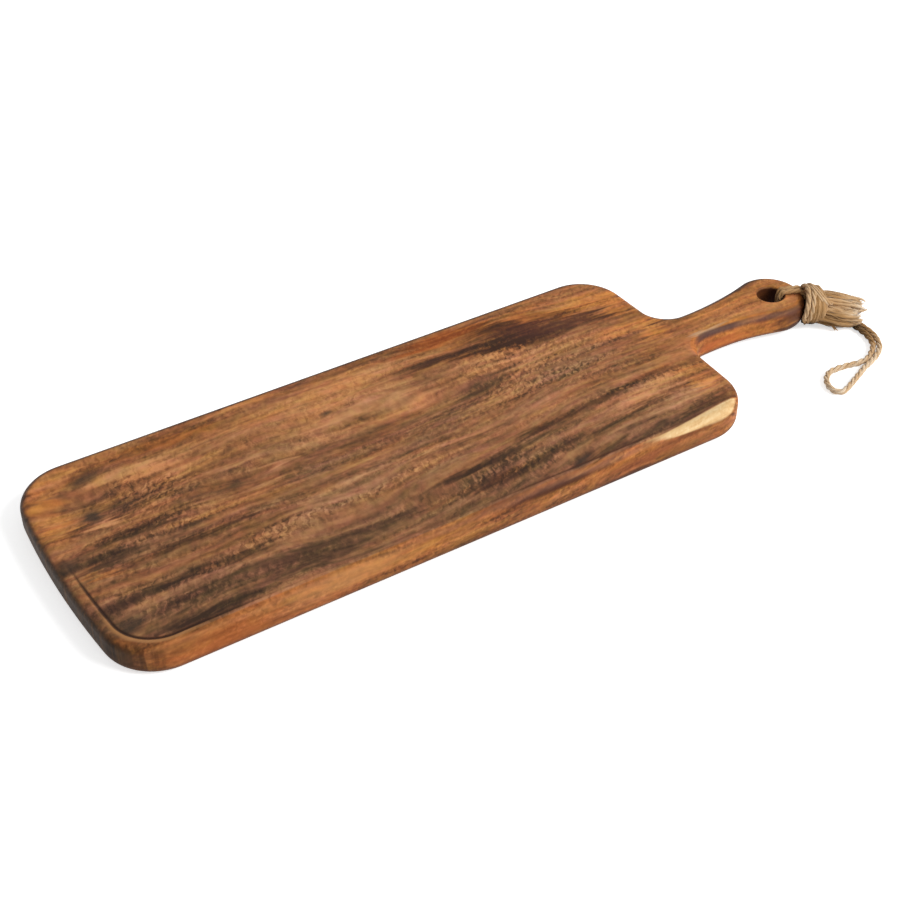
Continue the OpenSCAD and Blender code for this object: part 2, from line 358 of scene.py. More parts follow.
# Knots: place along and across, half length and half width, how far the grain bends and how dark
serving_height = 20
knots = [
    (-226, 29, 5, 5, 1.5, 0.9), (-208, 30, 9, 5, 1.5, 0.35), (-217, 62, 8, 4, 1.5, 0.65),
    (-244, -61, 8, 5, 3, 0.8), (-255, -2, 6, 6, 2, 0.8), (-146, 12, 4, 4, 3, 0.45),
    (-72, 43, 4, 1.6, 1, 0.7), (30, -76, 7, 3, 1, 0.8),
]
for x, y, half_length, half_across, bend, dark in knots:
    bulge = add_patch(tree, place, (x, y, serving_height), (7 * half_length, 4 * half_across, 60))
    grain_across = reckon(tree, "MULTIPLY_ADD", bulge, bend, grain_across)
grain = add_node(tree, "CombineXYZ", {0: along, 1: grain_across, 2: height}).outputs[0]

# The tone of the wood, from dark at 0 to light at 1: streaks of several sizes along the grain,
# each with a length, a width, a place in the noise and a strength
tone = 0.54
streak_sizes = [
    (240, 24, 3.0, 0.08), (110, 8, 11.0, 0.15), (60, 4.2, 23.0, 0.17), (22, 1.9, 31.0, 0.07),
    (9, 3.0, 37.0, 0.10), (4, 2.6, 79.0, 0.09),
]
for length, width, shift, strength in streak_sizes:
    tone = reckon(tree, "MULTIPLY_ADD", add_streaks(tree, grain, length, width, shift), strength, tone)

# The figure: place along and across, half length and half width, turn, how light and how warm
figure = [
    (-248, 42, 13, 34, 0, 0.20, 0.4), (-235, 68, 18, 10, 0, 0.28, 0.1), (-190, 53, 30, 7, -10, 0.46, 0.0),
    (-164, 42, 20, 8, -10, 0.20, 0.0), (-220, 20, 9, 5, 0, 0.32, 0.0), (-192, 21, 9, 4, 15, 0.22, 0.0),
    (-122, 16, 8, 6, -30, 0.22, -0.1), (-134, 3, 14, 3, 10, 0.20, -0.1), (-75, 58, 70, 20, 0, 0.24, 0.1),
    (-212, -29, 52, 6, 0, 0.05, 0.2), (-140, -14, 12, 3, 8, 0.10, -0.2), (-100, -30, 60, 8, 5, 0.04, -0.2),
    (-95, -20, 42, 4, 8, 0.12, -0.2), (-212, -6, 44, 10, -4, -0.18, -0.3), (-205, 7, 38, 6, 0, -0.34, 0.0),
    (-208, 29, 9, 7, 0, -0.17, 0.0), (-190, -17, 46, 4, 0, -0.28, 0.1), (-155, -6, 50, 7, 5, -0.04, 0.1),
    (-65, 8, 38, 5, 5, -0.07, 0.2), (-95, 2, 36, 8, 5, -0.02, -0.2), (-148, 12, 9, 5, 0, -0.08, 0.0),
    (-180, 18, 16, 9, 0, -0.08, -0.1), (-228, -43, 32, 5, 0, -0.38, -0.4), (-180, -43, 40, 4, -3, -0.28, 0.0),
    (-185, -57, 60, 9, -2, -0.21, -0.4), (-118, -62, 50, 8, -2, -0.20, -0.3),
    (-205, -73, 42, 5, 0, -0.42, -0.1), (-140, -69, 44, 5, 0, -0.30, -0.2),
    (-62, -60, 26, 7, 0, -0.04, 0.1), (-165, 70, 40, 6, -3, 0.06, 0.5),
    (-78, 78, 18, 3, 0, -0.20, -0.1), (-112, 35, 20, 8, 0, 0.02, -0.1), (30, 72, 38, 6, 0, -0.06, 0.9),
    (-30, 65, 28, 6, 0, 0.18, -0.1), (8, 54, 42, 4, -2, -0.32, 0.1), (68, 60, 28, 10, -22, -0.34, 0.8),
    (76, 44, 34, 8, -5, -0.52, 0.3), (116, 43, 28, 7, -20, -0.28, 0.3), (102, 58, 26, 5, -25, -0.14, 0.8),
    (130, 57, 26, 10, -15, 0.26, 0.4), (144, 42, 8, 16, 0, 0.10, 0.3), (26, 18, 24, 7, 8, -0.32, -0.2),
    (8, 7, 40, 7, 12, -0.11, -0.2), (-35, -10, 34, 5, 8, -0.09, -0.2), (-27, 26, 22, 13, 0, 0.22, 0.0),
    (44, 34, 42, 8, -15, 0.16, -0.1), (100, 16, 24, 6, 0, 0.12, -0.1), (60, 20, 14, 5, 0, 0.10, -0.1),
    (78, 4, 38, 10, 5, -0.03, -0.4), (124, 18, 20, 8, 0, 0.22, 0.3), (30, -22, 50, 7, 5, 0.05, 0.0),
    (100, -15, 44, 9, 8, -0.12, 0.1), (130, -14, 28, 3, 10, -0.14, 0.1), (30, -37, 28, 4, 5, -0.30, 0.2),
    (88, -32, 44, 3, 7, -0.26, 0.3), (122, -27, 16, 4, 0, -0.10, 0.2), (112, -38, 32, 5, 5, 0.22, 0.1),
    (96, -45, 22, 4, 5, 0.20, 0.1), (-18, -48, 46, 3, 4, -0.36, 0.0), (-10, -56, 50, 5, 2, -0.14, -0.2),
    (-20, -64, 30, 6, 0, -0.28, 0.1), (30, -60, 50, 4, 3, -0.20, 0.1), (88, -54, 36, 3, 5, -0.20, 0.1),
    (84, -64, 34, 4, 5, -0.16, 0.0), (118, -60, 32, 6, 5, 0.22, -0.1), (140, -52, 9, 8, 0, 0.28, 0.2),
    (45, -74, 26, 5, 0, -0.24, 0.1), (80, -75, 40, 4, 2, -0.20, -0.1), (124, -71, 24, 4, 5, -0.20, 0.1),
    (-30, -74, 44, 4, 0, -0.10, -0.1), (-240, -18, 14, 5, -25, 0.12, 0.4), (48, 50, 24, 8, 0, -0.30, 0.2),
    (38, -43, 26, 4, 5, -0.22, 0.0), (-165, 56, 28, 6, -8, 0.20, 0.0), (-32, 40, 30, 8, 0, 0.22, 0.0),
    (-72, 34, 34, 7, 0, 0.22, 0.0), (-122, 77, 38, 5, 0, 0.26, 0.1), (146, 10, 10, 14, 0, 0.28, 0.3),
    (-238, 22, 8, 5, 0, -0.16, 0.0), (-16, 48, 14, 4, 0, -0.16, 0.0), (-90, 22, 40, 5, 5, 0.10, 0.0),
    (-105, 9, 16, 4, 0, -0.10, 0.0), (38, 62, 18, 5, 0, -0.16, 0.3), (140, -20, 30, 70, 0, 0.0, 0.14),
    (84, 62, 26, 12, 0, 0.03, 0.25), (-70, 40, 110, 45, 0, 0.0, -0.12), (140, -48, 14, 26, 0, 0.0, 0.16),
    (130, -35, 16, 5, 5, 0.10, 0.0), (-238, -8, 22, 9, 0, -0.36, -0.2), (-246, -52, 10, 14, 0, -0.14, -0.2),
]
feather = add_streaks(tree, grain, 40, 4, 17.0)
fringe = add_streaks(tree, grain, 14, 1.8, 19.0)
shift_across = reckon(tree, "MULTIPLY_ADD", fringe, 1.2, reckon(tree, "MULTIPLY", feather, 2.4))
shift_along = reckon(tree, "MULTIPLY", feather, 12.0)
figure_shift = add_node(tree, "CombineXYZ", {0: shift_along, 1: shift_across}).outputs[0]
figure_place = add_node(tree, "VectorMath", {0: place, 1: figure_shift}).outputs[0]
warmth = ease(tree, along, 110.0, 190.0, 0.34, 0.74)
warmth = reckon(tree, "MULTIPLY_ADD", across, 0.0032, warmth)
warmth = reckon(tree, "MULTIPLY_ADD", add_streaks(tree, grain, 60, 10, 53.0), 0.22, warmth)
warmth = reckon(tree, "MULTIPLY_ADD", add_streaks(tree, grain, 11, 4, 59.0), 0.16, warmth)
figure_depth = 45
figure_tone = 0.0
for x, y, half_length, half_across, turn, light, warm in figure:
    mask = add_patch(
        tree, figure_place, (x, y, serving_height), (half_length, half_across, figure_depth), turn
    )
    figure_tone = reckon(tree, "MULTIPLY_ADD", mask, light, figure_tone)
    if warm:
        warmth = reckon(tree, "MULTIPLY_ADD", mask, warm, warmth)
patchiness = reckon(tree, "MULTIPLY_ADD", add_streaks(tree, grain, 26, 2.6, 67.0), 0.4, 1.2)
tone = reckon(tree, "MULTIPLY_ADD", figure_tone, patchiness, tone)

# Curl: short bright and dark dashes across the grain, in bands and strongest in a few places,
# each with its middle along and across, its half length and its half width
curl_places = [
    (70, 12, 64, 28), (-140, -36, 76, 10), (-45, -28, 34, 9), (-30, -58, 76, 12), (60, 40, 44, 14),
    (-190, 35, 28, 20), (110, -32, 44, 9), (-215, -48, 44, 16), (-200, 0, 50, 14),
]
curl_place = add_node(
    tree, "VectorRotate", {"Vector": grain, "Angle": radians(-60)}, rotation_type="Z_AXIS"
).outputs[0]
curl_shift = add_node(tree, "TexNoise", {"Vector": place, "Scale": 0.35, "Detail": 1}).outputs["Color"]
curl_place = add_node(
    tree, "VectorMath", {0: curl_shift, 1: [5, 5, 0], 2: curl_place}, operation="MULTIPLY_ADD"
).outputs[0]
curl = add_streaks(tree, curl_place, 4.6, 2.2, 5.0)
curl_depth = 0.15
for x, y, half_length, half_across in curl_places:
    mask = add_patch(tree, place, (x, y, serving_height), (half_length, half_across, figure_depth))
    curl_depth = reckon(tree, "MULTIPLY_ADD", mask, 0.20, curl_depth)
curl_band = ease(tree, add_streaks(tree, grain, 80, 6, 41.0), -0.5, 0.5, 0.35, 1.3)
tone = reckon(tree, "MULTIPLY_ADD", reckon(tree, "MULTIPLY", curl, curl_band), curl_depth, tone)

# Pores: fine dark dashes along the grain
pores = ease(tree, add_streaks(tree, grain, 9, 0.9, 47.0), 0.3, 0.8)
tone = reckon(tree, "MULTIPLY_ADD", pores, -0.04, tone)

# The near side is warmer and a little darker, and the handle lighter
near_side = ease(tree, near_facing, 0.08, 0.28)
tone = reckon(tree, "MULTIPLY_ADD", ease(tree, along, 150.0, 190.0), 0.14, tone)
tone = reckon(tree, "MULTIPLY_ADD", near_side, -0.04, tone)
warmth = reckon(tree, "MULTIPLY_ADD", near_side, 0.70, warmth)
tone = reckon(tree, "TANH", reckon(tree, "MULTIPLY_ADD", tone, 1.8, -0.9))
tone = reckon(tree, "MULTIPLY_ADD", tone, 0.64, 0.5)
greywood = tone_ramp(tree, tone, "38261b", "5c402c", "865c41", "a87856", "c9966d")
redwood = tone_ramp(tree, tone, "361e11", "60381c", "93592c", "b8733b", "db8f4b")
surface = blend_colour(tree, warmth, greywood, redwood)
blush = reckon(tree, "MULTIPLY_ADD", add_streaks(tree, grain, 34, 7, 71.0), 0.6, 0.5)
blush = reckon(tree, "MULTIPLY_ADD", add_streaks(tree, grain, 8, 4, 73.0), 0.5, blush)
tint = blend_colour(tree, blush, (0.95, 1.06, 0.89, 1), (1.04, 0.93, 1.0, 1))
surface = add_node(tree, "VectorMath", {0: surface, 1: tint}, operation="MULTIPLY").outputs[0]

# Stains on the top, the near side and the handle: colour, strength, place, half sizes and turn. Some are
# painted light: a painted highlight on the handle's near crest (c3a78a), painted shadow of the knot on the
# tip's darker end grain (3a1e18, 2e1a10, 40231c) and painted shade on the handle's far edge (2a1610)
stains_and_painted_light = [
    ("5a2f2a", 0.35, (90, 48, 20), (44, 12, 30), -14), ("a8501e", 0.45, (28, 72, 20), (36, 7, 30), 0),
    ("9a6248", 0.50, (10, -83, 19), (62, 6, 3), 0), ("3f1e12", 0.90, (5, -85, 17.3), (42, 8, 2.4), 0),
    ("b4622a", 0.50, (-205, -85, 9), (46, 8, 12), 0), ("c68d55", 0.45, (-132, -84, 15), (48, 8, 6), 0),
    ("8a4a28", 0.45, (70, -85, 12), (60, 8, 5), 0), ("34180f", 0.85, (54, -84, 2.5), (34, 9, 4), 0),
    ("6a3a20", 0.55, (100, -85, 15.6), (34, 8, 1.8), 0), ("3a1e18", 0.75, (246, -19, 11), (13, 11, 11), 0),
    ("c3a78a", 0.60, (175, -10, 20), (15, 2.5, 3), 0), ("b4582c", 0.40, (188, -15, 9), (32, 8, 6), 0),
    ("2e1a10", 0.80, (242, -22, 6), (16, 9, 5), 0), ("5a2a18", 0.60, (205, -15, 4.5), (52, 12, 2.8), 0),
    ("4a2a26", 0.65, (226, -17, 17), (17, 7, 4.5), 0), ("2a1610", 0.75, (220, 17, 18.5), (22, 4, 4), 0),
    ("40231c", 0.70, (238, -23, 11), (13, 9, 12), 0),
]
for code, strength, middle, size, turn in stains_and_painted_light:
    mask = add_patch(tree, figure_place, middle, size, turn)
    surface = blend_colour(tree, reckon(tree, "MULTIPLY", mask, strength), surface, colour(code))

# Along the near upper edge: a dark band on the handle, and pale sapwood by the shoulder
band_turn = reckon(tree, "MULTIPLY_ADD", feather, 0.08, near_facing)
band = reckon(tree, "MULTIPLY", ease(tree, along, 157.0, 170.0), ease(tree, along, 192.0, 215.0, 0.85, 0.45))
band = reckon(tree, "MULTIPLY", band, ease(tree, height, 15.2, 17.6))
band = reckon(tree, "MULTIPLY", band, ease(tree, band_turn, 0.28, 0.55))
surface = blend_colour(tree, band, surface, colour("3c292b"))
sapwood_top = reckon(tree, "SUBTRACT", across, ease(tree, along, 80.0, 150.0, -80.3, -74.5))
sapwood_low = reckon(tree, "SUBTRACT", height, ease(tree, along, 66.0, 122.0, 19.6, 16.0))
sapwood = ease(tree, sapwood_top, -0.7, 0.5, 1.0, 0.0)
sapwood_low = reckon(tree, "MULTIPLY_ADD", feather, 0.7, sapwood_low)
sapwood = reckon(tree, "MULTIPLY", sapwood, ease(tree, sapwood_low, -0.7, 0.7))
sapwood = reckon(tree, "MULTIPLY", sapwood, ease(tree, along, 62.0, 92.0, 0.0, 0.95))
sapwood_end = reckon(tree, "MULTIPLY_ADD", height, -4.0, reckon(tree, "ADD", along, 80.0))
sapwood = reckon(tree, "MULTIPLY", sapwood, ease(tree, sapwood_end, 146.0, 153.0, 1.0, 0.0))
heartwood = ease(tree, sapwood_top, 0.0, 1.2)
heartwood = reckon(tree, "MULTIPLY", heartwood, ease(tree, sapwood_top, 1.6, 5.0, 0.7, 0.0))
heartwood = reckon(tree, "MULTIPLY", heartwood, ease(tree, along, 78.0, 108.0))
heartwood = reckon(tree, "MULTIPLY", heartwood, ease(tree, height, 17.0, 19.0))
surface = blend_colour(tree, heartwood, surface, colour("43261a"))
pale_wood = tone_ramp(tree, tone, "b98650", "dcb680", "efd8a8")
surface = blend_colour(tree, sapwood, surface, pale_wood)
spot_place = add_node(tree, "Mix", {0: 0.3, 4: place, 5: figure_place}, data_type="VECTOR").outputs[1]
for x, y, half_length, half_across, bend, dark in knots:
    spot_size = (1.4 * half_length, 1.4 * half_across, 12)
    spot = add_patch(tree, spot_place, (x, y, serving_height), spot_size, 20)
    surface = blend_colour(tree, reckon(tree, "MULTIPLY", spot, dark), surface, colour("332a22"))

# End grain is darker. The far and low edges and the wall of the hole get painted shade, the crease painted
# shade along with dark finish, and its lip a painted highlight
upright = add_node(tree, "CombineXYZ", {0: height, 1: along, 2: across}).outputs[0]
end_streaks = reckon(tree, "MULTIPLY_ADD", add_streaks(tree, upright, 40, 2.4, 61.0), 0.5, 0.5)
end_grain = tone_ramp(tree, end_streaks, "0e0905", "2a1b0c", "5c3e1f")
corner = ease(tree, foot_facing, 0.1, 0.6)
corner = reckon(tree, "MULTIPLY", corner, ease(tree, end_streaks, 0.4, 0.8, 0.0, 0.8))
corner = reckon(tree, "MULTIPLY", corner, near_side)
surface = blend_colour(tree, corner, surface, colour("4a2812"))
foot_face = ease(tree, foot_facing, 0.45, 0.92, 0.0, 0.94)
surface = blend_colour(tree, foot_face, surface, end_grain)
# Painted shade: the far edges, turned away from the lamp, are painted dark
far_side_shade = ease(tree, facing_y, 0.03, 0.35, 0.0, 0.85)
surface = blend_colour(tree, far_side_shade, surface, colour("341c12"))
# Painted shade: the lowest few millimetres of the sides are painted darker
low_edge_shade = ease(tree, height, 2.5, 7.5, 0.6, 0.0)
surface = blend_colour(tree, low_edge_shade, surface, colour("47240f"))
# Painted highlight: the lip at the crease's outer edge is painted lighter
lip_highlight_mark = add_node(tree, "Attribute", {}, attribute_name="lip").outputs["Fac"]
surface = blend_colour(tree, ease(tree, lip_highlight_mark, 0.0, 0.9, 0.0, 0.75), surface, colour("b07c4c"))
# The crease is painted darker: painted shade in the groove, along with dark finish that gathers there
crease_mark = add_node(tree, "Attribute", {}, attribute_name="crease").outputs["Fac"]
crease_shade_and_finish_colour = blend_colour(tree, ease(tree, along, -190.0, -120.0), colour("2a180f"), colour("45271a"))
surface = blend_colour(tree, ease(tree, crease_mark, 0.0, 0.8, 0.0, 0.9), surface, crease_shade_and_finish_colour)
# Painted shade: the wall of the hole is painted dark
hole_reach = add_patch(tree, place, (hole_x / MM, 0, 10), (11, 11, 60))
hole_wall_shade = ease(tree, facing_z, 0.2, 0.7, 0.92, 0.0)
hole_wall_shade = reckon(tree, "MULTIPLY", hole_wall_shade, ease(tree, hole_reach, 0.3, 0.5))
surface = blend_colour(tree, hole_wall_shade, surface, colour("35150d"))
tree.links.new(surface, shader.inputs["Base Color"])
tree.links.new(reckon(tree, "MULTIPLY_ADD", tone, -0.12, 0.62), shader.inputs["Roughness"])
shader.inputs["Specular IOR Level"].default_value = 0.12
relief = reckon(tree, "MULTIPLY_ADD", pores, -0.6, tone)
bump = add_node(tree, "Bump", {"Strength": 0.16, "Distance": 0.0004, "Height": relief})
tree.links.new(bump.outputs[0], shader.inputs["Normal"])

plank.data.materials.clear()
plank.data.materials.append(wood)
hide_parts("board")
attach(plank, "plank")

# The hanger's strands: two lengths of three-ply jute twine from the knot, up over the end of the
# tip, down the hole and back below the wood, where the board's weight presses them flat.
hanger_turn = radians(24)
hanger = (
    Matrix.Translation((hole_x, 0, 0)) @ Matrix.Rotation(-hanger_turn, 4, "Z")
    @ Matrix.Translation((tip_radius, 0, 0))
)
twine_radius = 1.8
ply_radius = 0.98
ply_offset = twine_radius - ply_radius
ply_sides = 8
twine_pitch = 17.0
ring_step = 0.6
fibre_rings = 4
fibre_radius = 0.08


def smooth_curve(points, steps):
    """Points on a smooth curve through the given ones, with so many steps in each span."""
    ends = [points[0]] + [Vector(p) for p in points] + [points[-1]]
    curve = []
    for p0, p1, p2, p3 in zip(ends, ends[1:], ends[2:], ends[3:]):
        p0, p3 = Vector(p0), Vector(p3)
        for step in range(steps):
            t = step / steps
            curve.append(
                (2 * p1 + (p2 - p0) * t + (2 * p0 - 5 * p1 + 4 * p2 - p3) * t ** 2
                 + (3 * p1 - p0 - 3 * p2 + p3) * t ** 3) / 2
            )
    return curve + [Vector(points[-1])]


def stations_along(points, step):
    """Evenly spaced stations on a smooth curve: place, side, up, distance and what else a point holds."""
    fine = smooth_curve(points, 24)
    runs = [0.0]
    for before, after in zip(fine, fine[1:]):
        runs.append(runs[-1] + (after.xyz - before.xyz).length)
    count = max(int(runs[-1] / step), 2)
    picked, k = [], 0
    for i in range(count + 1):
        run = runs[-1] * i / count
        while k < len(runs) - 2 and runs[k + 1] < run:
            k += 1
        picked.append(fine[k].lerp(fine[k + 1], (run - runs[k]) / max(runs[k + 1] - runs[k], 1e-9)))
    stations, up = [], Vector((0, 0, 1))
    for i, point in enumerate(picked):
        ahead = (picked[min(i + 1, count)].xyz - picked[max(i - 1, 0)].xyz).normalized()
        up = (up - ahead * up.dot(ahead)).normalized()
        stations.append((point.xyz, ahead.cross(up), up, runs[-1] * i / count, point[3:]))
    return stations


def start_twine():
    """A shape for twine, with each point's place on its own straightened yarn and its paleness."""
    bm = bmesh.new()
    bm.verts.layers.float_vector.new("yarn")
    bm.verts.layers.float.new("pale")
    return bm


def roll_yarn(bm, rings, sides, spot, seed, pale):
    """Rolls a strip of faces into a yarn: spot gives place, distance and radius at a ring and angle."""
    yarn = bm.verts.layers.float_vector["yarn"]
    paleness = bm.verts.layers.float["pale"]
    for vert in bmesh.ops.create_grid(bm, x_segments=rings, y_segments=sides, size=0.5)["verts"]:
        ring = round((vert.co.x + 0.5) * rings)
        angle = 2 * pi * round((vert.co.y + 0.5) * sides) / sides
        point, run, radius = spot(ring, angle)
        vert[yarn] = Vector((run + 100 * seed, radius * cos(angle) + 7 * seed, radius * sin(angle)))
        vert[paleness] = pale(ring / rings)
        vert.co = hanger @ (point * MM)


def twist_twine(bm, stations, seed, pale, flatten=lambda extra: (1, 1)):
    """Three plies twisted together along the stations."""
    for ply in range(3):
        def spot(ring, angle, ply=ply):
            point, side, up, run, extra = stations[ring]
            wide, thick = flatten(extra)
            turn = 2 * pi * (run / twine_pitch + ply / 3)
            swell = 0.94 + 0.12 * noise.noise(Vector((run * 0.35, ply * 9.1, seed * 5.3)))
            radius = ply_radius * min(swell, 1.0)
            right = (ply_offset * cos(turn) + radius * cos(angle)) * wide
            high = (ply_offset * sin(turn) + radius * sin(angle)) * thick
            return point + side * right + up * high, run, radius
        roll_yarn(bm, len(stations) - 1, ply_sides, spot, seed + ply, pale)


def add_fibres(bm, stations, count, reach, dice, outward, pale):
    """Stray fibres that stand off the twine's surface, each a fine tapered thread."""
    for fibre in range(count):
        point, side, up, run, extra = stations[dice.randrange(len(stations) // 20, len(stations) * 19 // 20)]
        ahead = side.cross(up) * dice.choice((-1, 1))
        angle = outward + dice.uniform(-1.4, 1.4)
        off = side * cos(angle) + up * sin(angle)
        length = dice.uniform(0.5, 1.0) * reach
        bend = (side * dice.uniform(-1, 1) + up * dice.uniform(-0.3, 1)) * 0.35 * length
        foot = point + off * twine_radius * 0.75

        def spot(ring, angle, foot=foot, ahead=ahead, off=off, bend=bend, length=length):
            share = ring / fibre_rings
            middle = foot + ahead * length * 1.6 * share + off * length * 0.45 * share + bend * share ** 2
            radius = fibre_radius * (1 - 0.75 * share)
            around = side * cos(angle) + off * sin(angle)
            return middle + around * radius, length * share, radius
        roll_yarn(bm, fibre_rings, 3, spot, fibre % 17, pale)


def close_twine(name, bm, material):
    """Closes the seams and ends of rolled yarns and turns them into a piece."""
    bmesh.ops.remove_doubles(bm, verts=bm.verts[:], dist=1e-7)
    bmesh.ops.holes_fill(bm, edges=[e for e in bm.edges if e.is_boundary])
    bmesh.ops.recalc_face_normals(bm, faces=bm.faces[:])
    return make_object(name, bm, material)


jute = bpy.data.materials.new("jute_twine")
jute.use_nodes = True
tree = jute.node_tree
shader = tree.nodes["Principled BSDF"]
yarn_place = add_node(tree, "Attribute", {}, attribute_name="yarn").outputs["Vector"]
paleness = add_node(tree, "Attribute", {}, attribute_name="pale").outputs["Fac"]
fibre_lines = add_streaks(tree, yarn_place, 7, 0.35, 2.0)
blotches = add_streaks(tree, yarn_place, 16, 5, 8.0)
jute_tone = reckon(tree, "MULTIPLY_ADD", fibre_lines, 0.16, paleness)
jute_tone = reckon(tree, "MULTIPLY_ADD", blotches, 0.14, jute_tone)
jute_colour = tone_ramp(tree, jute_tone, "3a2910", "876338", "b18859", "cfae86", "e9dac4")
tree.links.new(jute_colour, shader.inputs["Base Color"])
tree.links.new(reckon(tree, "MULTIPLY_ADD", jute_tone, -0.08, 0.95), shader.inputs["Roughness"])
shader.inputs["Specular IOR Level"].default_value = 0.15
shader.inputs["Sheen Weight"].default_value = 0.15
bump = add_node(tree, "Bump", {"Strength": 0.5, "Distance": 0.0003, "Height": fibre_lines})
tree.links.new(bump.outputs[0], shader.inputs["Normal"])

bridge = (tip_radius - hole_radius) / MM
twine_gap = 0.3
pressed = 1.0
pressed_spread = 0.75
wood_top = thickness / MM
wood_low = handle_rise / MM
edge_round = edge_radius / MM
rim_round = rim_radius / MM
hole_sag = 0.29
knot_middle = (5.8, -6.0, 14.0)


def pressing(share):
    """Half thickness of a strand as it is pressed below the tip."""
    return twine_radius + (pressed - twine_radius) * smooth_share(share)


def strand_points(side):
    """Route of one strand from the knot round the wood and back, with its half thickness."""
    corners = [(knot_middle[0], 17.6, twine_radius)]

    def round_corner(u, z, radius, angle, thick):
        reach = radius + twine_gap + thick
        corners.append((u + reach * cos(radians(angle)), z + reach * sin(radians(angle)), thick))

    for angle in range(10, 91, 20):
        round_corner(-edge_round, wood_top - edge_round, edge_round, angle, twine_radius)
    for angle in (112, 135, 157, 180):
        round_corner(rim_round - bridge - hole_sag, wood_top - rim_round, rim_round, angle, twine_radius)
    corners.append((-bridge - twine_gap - twine_radius - hole_sag, (wood_top + wood_low) / 2, twine_radius))
    for angle in (180, 202, 225, 247, 270):
        round_corner(
            rim_round - bridge - 1.5 * hole_sag, wood_low + rim_round, rim_round, angle,
            pressing((angle - 180) / 90),
        )
    for angle in range(270, 351, 20):
        round_corner(-edge_round, wood_low + edge_round, edge_round, angle, pressing((350 - angle) / 80))
    corners.append((knot_middle[0], 12.2, twine_radius))
    return [(u, side * (strand_spread(thick) + 0.1), z, thick) for u, z, thick in corners]


def strand_spread(thick):
    """Half width of a strand whose half thickness is given."""
    return twine_radius + pressed_spread * (twine_radius - thick)


def flatten_strand(extra):
    """How much wider and thinner a pressed strand is than a round one."""
    return strand_spread(extra[0]) / twine_radius, extra[0] / twine_radius


for name, side, seed in (("strand_far", 1, 1), ("strand_near", -1, 4)):
    twine = start_twine()
    stations = stations_along(strand_points(side), ring_step)
    twist_twine(twine, stations, seed, lambda share: 0.5, flatten_strand)
    strand = close_twine("twine_" + name, twine, jute)
    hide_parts(name)
    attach(strand, "hanger")

# The knot: the doubled twine is drawn round itself beside the tip, and its yarns loosen to a bulge.
# Two firm turns lean against the wood, and three thin locks cross over to the ends.
knot_radius = 14.0
wood_gap = 0.4
turn_start = -60
turn_sweep = 390
bulge_turn = radians(225)
lean_turn = radians(60)
barrel_turns = 17
barrel_start = -1.6
barrel_length = 12.0
barrel_reach = 11.3
core_rings = 12
core_start = 0.9
core_length = 10.0
core_radius = 10.4


def wood_end(v, z):
    """How far out the tip of the handle reaches, at a place across it and a height."""
    tip = tip_radius / MM
    rounding = max(wood_low + edge_round - z, z - wood_top + edge_round, 0)
    if rounding >= edge_round:
        return -tip
    inset = edge_round - sqrt(edge_round ** 2 - rounding ** 2)
    return sqrt(max((tip - inset) ** 2 - v ** 2, 0)) - tip


def knot_turn(turn_u, lean, reach, swell, radius):
    """Route of one turn round the knot: it leans along the twine and swells to the near side."""
    route = []
    for degrees in range(turn_start, turn_start + turn_sweep + 1, 15):
        a = radians(degrees)
        out = reach + swell * max(cos(a - bulge_turn), 0)
        v = knot_middle[1] + out * cos(a)
        z = knot_middle[2] + out * sin(a)
        clear = max(wood_end(v + dv, z + dz) for dv in (-radius, 0, radius) for dz in (-radius, 0, radius))
        route.append((max(turn_u + lean * cos(a - lean_turn), clear + radius + wood_gap), v, z))
    return route


def lay_lock(bm, route, radius, sides, step, seed, pale, thin=0.0):
    """One loose lock of fibre along a route, which can run thin at its end."""
    stations = stations_along(route, step)

    def spot(ring, angle):
        point, side, up, run, extra = stations[ring]
        share = ring / (len(stations) - 1)
        swell = 1 + 0.2 * noise.noise(Vector((run * 0.25, seed * 3.7, 0)))
        here = radius * swell * (1 - thin * share ** 5)
        return point + (side * cos(angle) + up * sin(angle)) * here, run, here
    roll_yarn(bm, len(stations) - 1, sides, spot, seed, pale)


def knot_pale_with_shade(light, share):
    """A turn's paleness, with painted shade where it passes below the knot."""
    return light - 1.1 * max(-sin(radians(turn_sweep * share + turn_start - 10)) - 0.15, 0)


dice = random.Random(29)
twine = start_twine()
for turn in range(barrel_turns):
    share = turn / (barrel_turns - 1)
    reach = barrel_reach * sqrt(1 - 0.4 * (2 * share - 1) ** 2) + dice.uniform(-0.4, 0.4)
    lean = 2.2 - 3.0 * share + dice.uniform(-0.5, 0.5)
    radius = dice.uniform(1.0, 1.5)
    light = dice.uniform(0.34, 0.58)
    route = knot_turn(barrel_start + barrel_length * share, lean, reach, 1.1, radius)
    lay_lock(twine, route, radius, 7, 1.2, 20 + turn, lambda share, light=light: knot_pale_with_shade(light, share))
for number, (turn_u, lean, reach) in enumerate(((-2.2, 2.4, 11.8), (1.2, 2.2, 12.0))):
    stations = stations_along(knot_turn(turn_u, lean, reach, 0, twine_radius), ring_step)
    twist_twine(twine, stations, 40 + 3 * number, lambda share: knot_pale_with_shade(0.66, share))
# Route of the crossing locks: turn round the knot in degrees, distance from the tip and reach
crossing = [
    (45, 2.0, 11.5), (75, 2.8, 12.3), (105, 4.4, 12.6), (130, 7.2, 12.2),
    (148, 10.2, 10.8), (158, 13.0, 7.6), (165, 16.0, 3.0),
]
for number, (shift, radius, light) in enumerate(((-1.4, 0.8, 0.66), (0.2, 1.0, 0.72), (1.8, 0.8, 0.60))):
    route = [
        (u + shift, knot_middle[1] + out * cos(radians(turn)), knot_middle[2] + out * sin(radians(turn)))
        for turn, u, out in crossing
    ]
    lay_lock(twine, route, radius, 7, 1.0, 50 + number, lambda share, light=light: light, 0.7)


